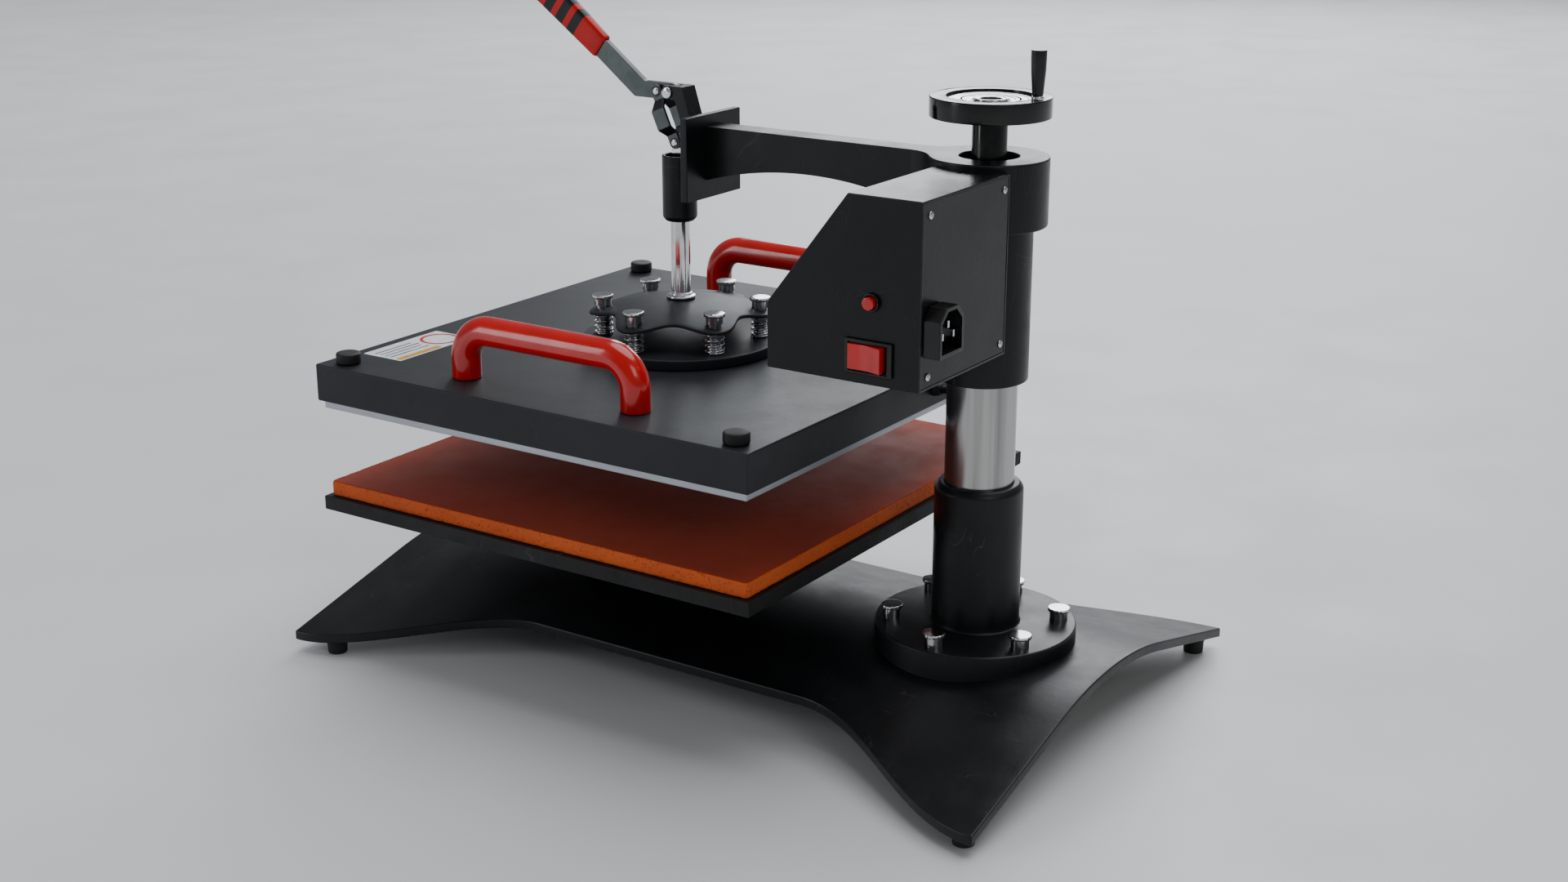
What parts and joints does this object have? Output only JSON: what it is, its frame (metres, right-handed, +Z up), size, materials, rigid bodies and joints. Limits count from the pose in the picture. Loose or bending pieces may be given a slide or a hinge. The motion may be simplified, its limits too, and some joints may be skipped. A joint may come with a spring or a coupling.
{
  "type": "heat press",
  "caption": "Swing-away flat heat press: arched base, chrome column with handwheel, toggle lever, sprung heated upper platen, silicone pad and a controller box.",
  "frame": {"origin": "middle of the base at the surface the press stands on", "axes": "+Z up, the operator stands at -Y, +X is the operator's right, where the controller box is"},
  "size_m": [0.3952, 0.585, 0.5278],
  "materials": {
    "powder_black": "satin black powder coat, faint blue cast, worn edges",
    "platen_black": "rough black coat",
    "housing_blue": "dark blue-grey satin coat",
    "chrome": "polished chrome",
    "brushed_steel": "brushed and plated tube",
    "lever_steel": "dark plated flat bar",
    "heat_aluminium": "machined aluminium plate",
    "red_plastic": "glossy red",
    "silicone": "orange silicone foam, pitted sides",
    "rubber": "matte black rubber",
    "gloss_black": "gloss black",
    "black_plastic": "black moulded plastic"
  },
  "bodies": {
    "root": {"base_plate": "powder_black", "foot_front_left": "rubber", "foot_front_right": "rubber", "foot_back_left": "rubber", "foot_back_right": "rubber", "column_socket": "powder_black", "post_tube": "brushed_steel", "screw_nut": "brushed_steel", "platen_stand": "powder_black", "lower_platen": "platen_black", "silicone_pad": "silicone"},
    "carriage": {"thrust_bearing": "brushed_steel"},
    "wheel": {"handwheel": "gloss_black", "spindle": "gloss_black"},
    "knob": {"crank_knob": "gloss_black"},
    "arm": {"arm_casting": "powder_black", "front_plate": "powder_black", "plunger_guide": "powder_black", "toggle_bracket": "powder_black", "pivot_pin": "chrome", "box_shell": "powder_black", "back_panel": "powder_black", "power_inlet": "black_plastic", "breaker_ring": "black_plastic", "rocker_bezel": "black_plastic", "display_bezel": "black_plastic", "heater_lead": "rubber"},
    "plunger": {"plunger_rod": "chrome", "spider_plate": "housing_blue"},
    "lever": {"lever_bar": "lever_steel", "lever_grip": "red_plastic"},
    "links": {"link_right": "lever_steel", "link_left": "lever_steel", "link_pin": "chrome"},
    "platen": {"heater_housing": "housing_blue", "heat_plate": "heat_aluminium", "mounting_disc": "powder_black", "spider_bolt_1": "chrome", "spider_bolt_2": "chrome", "spider_bolt_3": "chrome", "spider_bolt_4": "chrome", "spider_bolt_5": "chrome", "spider_bolt_6": "chrome", "handle_left": "red_plastic", "handle_right": "red_plastic", "cap_front_left": "rubber", "cap_front_right": "rubber", "cap_back_left": "rubber", "cap_back_right": "rubber", "spring_1": "chrome", "spring_2": "chrome", "spring_3": "chrome", "spring_4": "chrome", "spring_5": "chrome", "spring_6": "chrome"},
    "rocker": {"rocker": "red_plastic"},
    "reset": {"reset_button": "red_plastic"},
    "key_set": {"key_set": "rubber"},
    "key_down": {"key_down": "rubber"},
    "key_up": {"key_up": "rubber"}
  },
  "joints": [
    {"name": "head_height", "type": "slide", "parent": "root", "child": "carriage", "axis": [0, 0, 1], "range_m": [-0.041, 0.02]},
    {"name": "arm_swing", "type": "hinge", "parent": "carriage", "child": "arm", "pos_m": [0, 0.1854, 0.3825], "axis": [0, 0, 1], "continuous": true},
    {"name": "handwheel_turn", "type": "hinge", "parent": "carriage", "child": "wheel", "pos_m": [0, 0.1854, 0.43], "axis": [0, 0, 1], "range_deg": [-3700, 1810]},
    {"name": "knob_spin", "type": "hinge", "parent": "wheel", "child": "knob", "pos_m": [0.00183, 0.22025, 0.45], "axis": [0, 0, 1], "continuous": true},
    {"name": "plunger_slide", "type": "slide", "parent": "arm", "child": "plunger", "axis": [0, 0, 1], "range_m": [-0.0145, 0]},
    {"name": "lever_pivot", "type": "hinge", "parent": "arm", "child": "lever", "pos_m": [0, -0.0727, 0.4193], "axis": [1, 0, 0], "range_deg": [0, 80.2]},
    {"name": "link_pivot", "type": "hinge", "parent": "plunger", "child": "links", "pos_m": [0, -0.0686, 0.3831], "axis": [1, 0, 0], "range_deg": [-15.3, 0]},
    {"name": "platen_float", "type": "slide", "parent": "plunger", "child": "platen", "axis": [0, 0, 1], "range_m": [0, 0.006], "stiffness_N_per_m": 6000, "springref_m": -0.03, "deforming": ["spring_1", "spring_2", "spring_3", "spring_4", "spring_5", "spring_6"]},
    {"name": "rocker_tilt", "type": "hinge", "parent": "arm", "child": "rocker", "pos_m": [0.1394, 0.182, 0.2925], "axis": [0, 0, 1], "range_deg": [0, 14]},
    {"name": "reset_press", "type": "slide", "parent": "arm", "child": "reset", "axis": [-1, 0, 0], "range_m": [0, 0.003], "stiffness_N_per_m": 400, "springref_m": -0.002},
    {"name": "key_set_press", "type": "slide", "parent": "arm", "child": "key_set", "axis": [0, 0.7889, -0.6146], "range_m": [0, 0.001], "stiffness_N_per_m": 600, "springref_m": -0.001},
    {"name": "key_down_press", "type": "slide", "parent": "arm", "child": "key_down", "axis": [0, 0.7889, -0.6146], "range_m": [0, 0.001], "stiffness_N_per_m": 600, "springref_m": -0.001},
    {"name": "key_up_press", "type": "slide", "parent": "arm", "child": "key_up", "axis": [0, 0.7889, -0.6146], "range_m": [0, 0.001], "stiffness_N_per_m": 600, "springref_m": -0.001}
  ],
  "couplings": [
    {"joint": "handwheel_turn", "follows": "head_height", "rad_per_m": 1570.8},
    {"joint": "lever_pivot", "follows": "plunger_slide", "rad_per_m": -96.294},
    {"joint": "link_pivot", "follows": "plunger_slide", "rad_per_m": 18.344}
  ]
}
